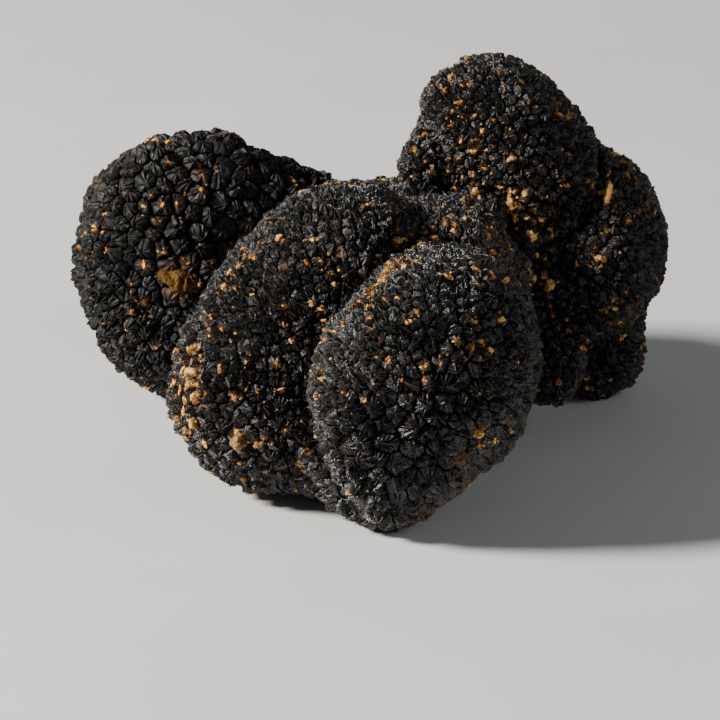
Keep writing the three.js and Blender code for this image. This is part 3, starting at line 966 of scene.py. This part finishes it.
def wart_skin(name, grain, roughness, shine, tip):
    """Satin charcoal with fine rays, painted shade towards the grooves, painted highlights on the
    tips and ridges, red-brown scars, bare rind and rust.
    """
    n = Nodes(name)
    painted_light = n.attribute("painted_light")
    x, y, tone = n.parts(n.attribute("spot", "Vector"))
    stain, scar, bare = n.parts(n.attribute("stain", "Vector"))
    mottle = n.noise(0.7 * MM, 4)
    fine = n.noise(0.25 * MM, 3)
    brown_tip, painted_highlight_tip = (
        (*(share * part for share, part in zip(tint, tip)), 1) for tint in (BROWN_TINT, PAINTED_HIGHLIGHT_TINT)
    )
    # Painted shade: near black towards the grooves, the tips' colour towards the tips.
    charcoal = n.mix(n.ramp(painted_light, 0.15, 1.0), GROOVE_PAINTED_SHADE, (*tip, 1))
    brown = n.mix(n.ramp(mottle, 0.42, 0.72), charcoal, brown_tip)
    colour = n.mix(n.ramp(tone, 0.2, 1.0, 0.0, 0.85), charcoal, brown)
    # Painted highlight: pale specks on the raised parts of the warts.
    painted_highlight = n.math("MULTIPLY", n.ramp(fine, 0.56, 0.80, 0, 0.5), painted_light)
    colour = n.mix(painted_highlight, colour, painted_highlight_tip)
    # Painted highlight: pale glints on the raised tips of the ridges.
    glint_tips = n.math("MULTIPLY", n.attribute("painted_glint"), n.ramp(painted_light, 0.62, 1.0))
    pale = n.math("MULTIPLY", glint_tips, n.ramp(fine, 0.42, 0.60, 0.1, 1.0))
    colour = n.mix(pale, colour, PAINTED_GLINT_PALE)
    flesh = n.mix(n.ramp(fine, 0.35, 0.65), *FLESH)
    torn = n.math("MULTIPLY", scar, n.ramp(fine, 0.35, 0.65, 0.35, 1.25))
    colour = n.mix(n.ramp(torn, 0.25, 0.65, 0, 0.85), colour, flesh)
    rind = n.mix(n.ramp(mottle, 0.35, 0.70), *RIND)
    colour = n.mix(n.ramp(bare, 0.10, 1.0, 0, 0.9), colour, rind)
    rust = n.mix(n.ramp(fine, 0.40, 0.65), *RUST)
    colour = n.mix(n.ramp(stain, 0.15, 0.80, 0, 0.85), colour, rust)
    turn = n.math("MULTIPLY", n.math("ARCTAN2", y, x), RAY_TURN)
    angle = n.math("ADD", turn, n.math("MULTIPLY", tone, RAY_SHIFT))
    inputs = {"W": angle, "Scale": 2.5, "Detail": 2.0}
    rays = n.add("ShaderNodeTexNoise", inputs, noise_dimensions="1D").outputs["Fac"]
    relief = n.bump(rays, 0.12 * MM, 0.8)
    relief = n.bump(n.noise(0.26 * MM, 3, 0.6), grain, 1.0, relief)
    satin = n.ramp(fine, 0.35, 0.65, roughness, roughness + ROUGHNESS_RANGE)
    return n.finish(
        Base_Color=colour,
        Roughness=n.math("ADD", satin, n.math("MULTIPLY", scar, 0.3)),
        Specular_IOR_Level=shine,
        Normal=relief,
    )


def painted_shade_groove_skin():
    """The skin at the bottom of the grooves: nearly black as painted shade, and dull."""
    n = Nodes("painted_shade_groove_skin")
    mottle = n.noise(0.8 * MM, 4)
    return n.finish(
        Base_Color=n.mix(n.ramp(mottle, 0.4, 0.7), BOTTOM_BLACK, BOTTOM_BROWN),
        Roughness=n.ramp(mottle, 0.3, 0.7, 0.75, 0.95),
        Specular_IOR_Level=DULL_SHINE,
        Normal=n.bump(n.noise(0.3 * MM, 3), 0.1 * MM, 0.8),
    )


def flake_soil():
    """Dry sandy soil: cream and gold, with rusty edges; darker towards a crumb's underside too."""
    n = Nodes("flake_soil")
    tone, edge = n.attribute("tone"), n.attribute("edge")
    grain = n.noise(0.22 * MM, 3)
    lit = n.math("ADD", n.ramp(n.noise(0.35 * MM, 2), 0.38, 0.62, -0.35, 0.55), tone)
    gold = n.mix(n.ramp(lit, 0.35, 1.25), FLAKE_DULL, FLAKE_CREAM)
    rusty = n.math(
        "ADD", n.ramp(edge, 0.5, 1.0, 0.15, 0.60), n.ramp(grain, 0.42, 0.70, -0.15, 0.60)
    )
    return n.finish(
        Base_Color=n.mix(n.ramp(rusty, 0.20, 0.85), gold, FLAKE_RUST),
        Roughness=n.ramp(grain, 0.3, 0.7, 0.6, 0.85),
        Normal=n.bump(n.noise(0.13 * MM, 3), 0.07 * MM, 0.9),
    )


def ochre_soil():
    """A slab of dry ochre soil, speckled, and darker towards its edge and underside."""
    n = Nodes("ochre_soil")
    edge = n.attribute("edge")
    grain = n.noise(0.30 * MM, 4, 0.65)
    broad = n.noise(1.1 * MM, 3)
    gold = n.mix(n.ramp(broad, 0.38, 0.62), OCHRE_DARK, OCHRE_LIGHT)
    speckled = n.mix(n.ramp(grain, 0.50, 0.66), gold, OCHRE_SPECK)
    return n.finish(
        Base_Color=n.mix(n.ramp(edge, 0.70, 1.05, 0, 0.9), speckled, OCHRE_EDGE),
        Roughness=n.ramp(grain, 0.3, 0.7, 0.7, 0.9),
        Specular_IOR_Level=DULL_SHINE,
        Normal=n.bump(n.noise(0.22 * MM, 4), 0.16 * MM, 1.0),
    )


def pale_grit():
    """A worn cream grain, patched with ochre, darker towards its edge and underside."""
    n = Nodes("pale_grit")
    edge = n.attribute("edge")
    broad = n.noise(0.8 * MM, 3)
    cream = n.mix(n.ramp(broad, 0.40, 0.60), GRIT_CREAM, GRIT_OCHRE)
    cream = n.mix(n.attribute("tone"), GRIT_DULL, cream)
    return n.finish(
        Base_Color=n.mix(n.ramp(edge, 0.70, 1.05, 0, 0.85), cream, GRIT_EDGE),
        Roughness=n.ramp(broad, 0.3, 0.7, 0.45, 0.7),
        Normal=n.bump(n.noise(0.25 * MM, 3), 0.07 * MM, 0.7),
    )


def spongy_brown():
    """A brown crumb full of small holes, painted dark as shade where its bumps dip."""
    n = Nodes("spongy_brown")
    grain = n.noise(0.34 * MM, 3, 0.6)
    return n.finish(
        Base_Color=n.mix(n.ramp(grain, 0.38, 0.62), SPONGE_HOLE_SHADE, SPONGE_BROWN),
        Roughness=n.ramp(grain, 0.3, 0.7, 0.75, 0.95),
        Normal=n.bump(grain, 0.22 * MM, 1.0),
    )


def floor_look():
    """A plain pale floor."""
    n = Nodes("pale_floor")
    grain = n.noise(40 * MM, 2)
    return n.finish(
        Base_Color=n.mix(n.ramp(grain, 0.3, 0.7), FLOOR_DARK, FLOOR_LIGHT), Roughness=0.7
    )


# The stage.


def add_floor():
    """A wide floor at the height on which the truffle rests."""
    mesh = bpy.data.meshes.new("floor")
    signs = ((-1, -1), (1, -1), (1, 1), (-1, 1))
    corners = [(x * FLOOR_REACH, y * FLOOR_REACH, 0) for x, y in signs]
    mesh.from_pydata(corners, [], [(0, 1, 2, 3)])
    mesh.materials.append(floor_look())
    floor = placed("floor", mesh)


def add_light(name, place, size, power, colour):
    """A round lamp, aimed at the truffle."""
    lamp = bpy.data.lights.new(name, "AREA")
    lamp.energy = power
    lamp.size = size
    lamp.shape = "DISK"
    lamp.color = colour
    light = placed(name, lamp)
    light.location = place
    light.rotation_euler = (LIGHT_AIM - Vector(place)).to_track_quat("-Z", "Y").to_euler()


def add_camera():
    """A long lens in front of the truffle."""
    lens = bpy.data.cameras.new("view")
    lens.lens = LENS
    lens.sensor_width = SENSOR
    camera = placed("view", lens)
    back = Vector((0, -math.cos(VIEW_ELEVATION), math.sin(VIEW_ELEVATION)))
    camera.location = AIM + back * VIEW_DISTANCE
    camera.rotation_euler = (math.pi / 2 - VIEW_ELEVATION, 0, 0)
    bpy.context.scene.camera = camera


def add_air():
    """A dim even light from all round."""
    world = bpy.data.worlds.new("air")
    world.use_nodes = True
    background = world.node_tree.nodes["Background"]
    background.inputs["Color"].default_value = AIR_COLOUR
    background.inputs["Strength"].default_value = AIR_STRENGTH
    bpy.context.scene.world = world


# The truffle. The first word of a crumb's name gives its look, and whether it is shaded smooth.

CRUMB_LOOKS = {
    "soil": ("soil", flake_soil),
    "grit": ("grit", pale_grit),
    "brown": ("brown_soil", spongy_brown),
}


def crack(vertices, attributes, up):
    """The slab's points with a crack pressed into them, and painted shade darkening along it."""
    wander = CRACK_WANDER * swell(vertices, CRACK_WAVE, CRACK_SEED)
    distance = np.abs(attributes["reach"] - CRACK_PLACE + wander)
    depth = CRACK_DEPTH * bell(distance / CRACK_WIDTH) * (1 - attributes["edge"])
    # Painted shade along the crack.
    shade = CRACK_SHADE * bell(distance / CRACK_SHADE_WIDTH)
    attributes["edge"] = np.maximum(attributes["edge"], shade)
    return vertices - up * depth[:, None]


def add_crumbs(ground):
    """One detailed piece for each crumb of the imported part. Gives their middles and reaches."""
    looks = {kind: (slot, look()) for kind, (slot, look) in CRUMB_LOOKS.items()}
    crumbs = []
    for number, node in enumerate(sorted(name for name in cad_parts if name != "truffle")):
        slot, material = looks[node.split("_")[0]]
        seed = CRUMB_SEED + SEEDS_PER_CRUMB * number
        vertices, faces, attributes, up = crumb_shape(node, ground, seed)
        if node == SLAB:
            vertices = crack(vertices, attributes, up)
            material = ochre_soil()
        tone = CRUMB_TONES.get(node, rng.uniform(*CRUMB_TONE))
        attributes = {"edge": attributes["edge"], "tone": np.full(len(vertices), tone)}
        smooth = slot == "grit"
        piece = mesh_object(f"{node}_crumb", vertices, faces, material, attributes, smooth)
        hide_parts(node)
        middle = vertices.mean(0)
        farthest = np.linalg.norm(vertices - middle, axis=1).max()
        crumbs.append((middle, farthest * CRUMB_HOLD))
    return crumbs


def add_warts(shapes, flakes, crumbs):
    """One piece for the warts of each lobe, stained by the soil that is near."""
    skins = {name: wart_skin(name, **look) for name, look in SKINS.items()}
    spots = tree_of([flake[0] for flake in flakes])
    sizes = np.array([flake[3] for flake in flakes])
    for name, (shape, faces, painted_light, spot) in shapes.items():
        nearest = [spots.find(point)[1:] for point in shape]
        owner, distance = (np.array(part) for part in zip(*nearest))
        stain = bell(distance / (sizes[owner] * STAIN_SPREAD + STAIN_MARGIN))
        for middle, reach in crumbs:
            stain = np.maximum(stain, nearness(shape, middle, reach + STAIN_REACH))
        marks = np.stack([stain, scarred(shape), worn_and_brown(shape)[1]], 1)
        # Painted light and shade by the warts' height, and painted highlight at the glint places.
        attributes = {"painted_light": painted_light, "spot": spot, "stain": marks, "painted_glint": painted_glints(shape)}
        piece = mesh_object(f"warts_{name}", shape, faces, skins[LOBES[name]["skin"]], attributes)


def build():
    """The whole truffle: its ground, its crumbs, its warts and the soil on them."""
    vertices, triangles, normals = ground_shape()
    ground = BVHTree.FromPolygons(vertices.tolist(), triangles.tolist())
    deeper = vertices - normals * SKIN_DEPTH
    # The body shows only in the grooves, painted near black as shade.
    body = mesh_object("truffle_body", deeper, triangles, painted_shade_groove_skin(), smooth=True)
    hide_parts("truffle")
    crumbs = add_crumbs(ground)
    warts, lobes = grow_warts(vertices, triangles, ground, crumbs)
    seats, shapes = [], {}
    for number, name in enumerate(LOBES):
        shapes[name] = wart_mesh(np.flatnonzero(lobes == number), warts, seats)
    surface = surface_of(shapes.values())
    flakes = flake_list(seats, crumbs, surface)
    add_warts(shapes, flakes, crumbs)
    shape, faces, attributes = flake_mesh(flakes, surface)
    piece = mesh_object("soil_flakes", shape, faces, flake_soil(), attributes)


build()
add_floor()
add_air()
for name, light in LIGHTS.items():
    add_light(name, **light)
add_camera()
